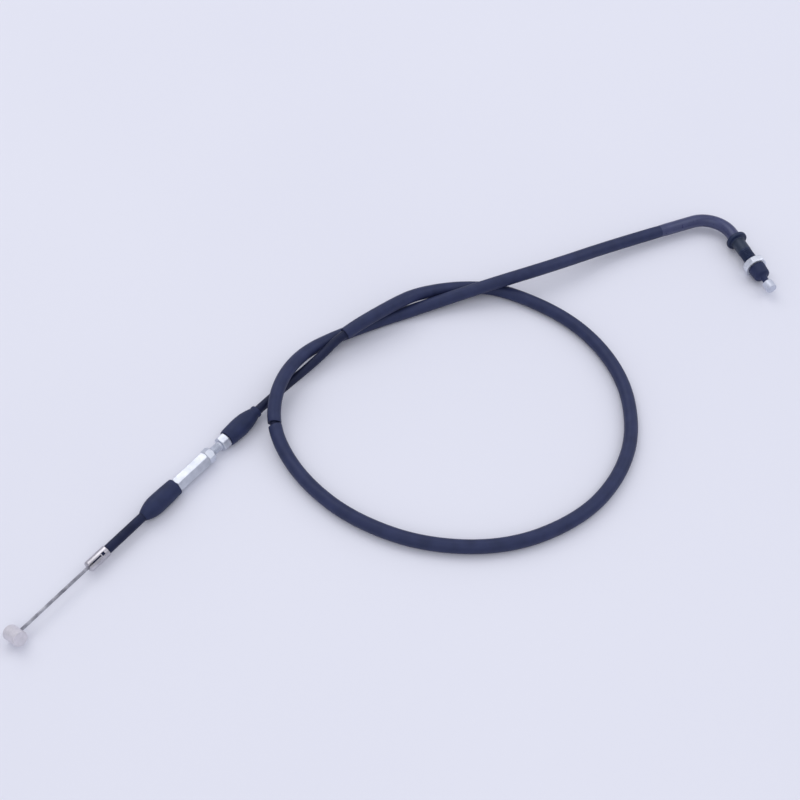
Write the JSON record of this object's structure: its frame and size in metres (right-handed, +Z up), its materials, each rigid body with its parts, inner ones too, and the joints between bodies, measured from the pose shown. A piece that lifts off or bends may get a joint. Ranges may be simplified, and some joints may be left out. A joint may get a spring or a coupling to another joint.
{
  "type": "motorcycle clutch cable",
  "caption": "Bowden clutch cable with a barrel nipple, in-line hex adjuster under rubber boots, sleeved casing, and a bent end pipe with a threaded fitting.",
  "frame": {"origin": "on the surface that the cable lies on, under the middle of its box", "axes": "+Z up; the lever end is at -X -Y and the engine end at +X +Y; +X runs along the longest side of the laid-out cable"},
  "size_m": [0.4289, 0.3047, 0.0175],
  "materials": {
    "die_cast_zinc": "as-cast satin",
    "wire_steel": "bright strands",
    "plated_steel": "bright rolled",
    "zinc_plated_steel": "pale zinc plate",
    "dark_plated_steel": "dark satin",
    "end_nipple_steel": "bright",
    "spiral_steel": "plain",
    "casing_black": "satin",
    "sleeve_black": "satin",
    "liner_plastic": "smooth",
    "boot_rubber": "matt",
    "painted_pipe": "satin black"
  },
  "bodies": {
    "casing": {"main_jacket": "casing_black", "main_core": "spiral_steel", "main_liner": "liner_plastic", "middle_wire": "wire_steel", "front_sleeve": "sleeve_black", "rear_sleeve": "sleeve_black", "pipe": "painted_pipe", "threaded_fitting": "dark_plated_steel", "end_boot": "boot_rubber", "adjuster_screw": "zinc_plated_steel", "screw_ferrule": "plated_steel"},
    "short_casing": {"short_jacket": "casing_black", "short_core": "spiral_steel", "short_liner": "liner_plastic", "lever_ferrule": "plated_steel", "barrel_ferrule": "plated_steel"},
    "barrel": {"adjuster_barrel": "zinc_plated_steel"},
    "locknut": {"adjuster_locknut": "zinc_plated_steel"},
    "lever_boot": {"lever_boot": "boot_rubber"},
    "screw_boot": {"screw_boot": "boot_rubber"},
    "lever_end": {"lever_nipple": "die_cast_zinc", "lever_wire": "wire_steel"},
    "engine_end": {"engine_wire": "wire_steel", "engine_nipple": "end_nipple_steel"},
    "pipe_nut": {"pipe_nut": "zinc_plated_steel"}
  },
  "joints": [
    {"name": "adjuster_slide", "type": "slide", "parent": "casing", "child": "short_casing", "axis": [-0.6143, -0.7891, 0], "range_m": [0, 0.008]},
    {"name": "barrel_turn", "type": "hinge", "parent": "short_casing", "child": "barrel", "pos_m": [-0.13151, -0.04766, 0.0056], "axis": [-0.6143, -0.7891, 0], "range_deg": [0, 3600]},
    {"name": "locknut_travel", "type": "slide", "parent": "casing", "child": "locknut", "axis": [0.6143, 0.7891, 0], "range_m": [0, 0.0066]},
    {"name": "lever_boot_slide", "type": "slide", "parent": "short_casing", "child": "lever_boot", "axis": [-0.6143, -0.7891, 0], "range_m": [0, 0.0255]},
    {"name": "screw_boot_slide", "type": "slide", "parent": "casing", "child": "screw_boot", "axis": [0.6143, 0.7891, 0], "range_m": [0, 0.008]},
    {"name": "wire_slide", "type": "slide", "parent": "casing", "child": "lever_end", "axis": [0.6143, 0.7891, 0], "range_m": [0, 0.034]},
    {"name": "engine_wire_slide", "type": "slide", "parent": "casing", "child": "engine_end", "axis": [0.3173, -0.9483, 0], "range_m": [0, 0.034]},
    {"name": "pipe_nut_travel", "type": "slide", "parent": "casing", "child": "pipe_nut", "axis": [-0.3173, 0.9483, 0], "range_m": [0, 0.01]}
  ],
  "couplings": [
    {"joint": "barrel_turn", "follows": "adjuster_slide", "rad_per_m": 7853.9},
    {"joint": "engine_wire_slide", "follows": "wire_slide", "ratio": 1}
  ]
}
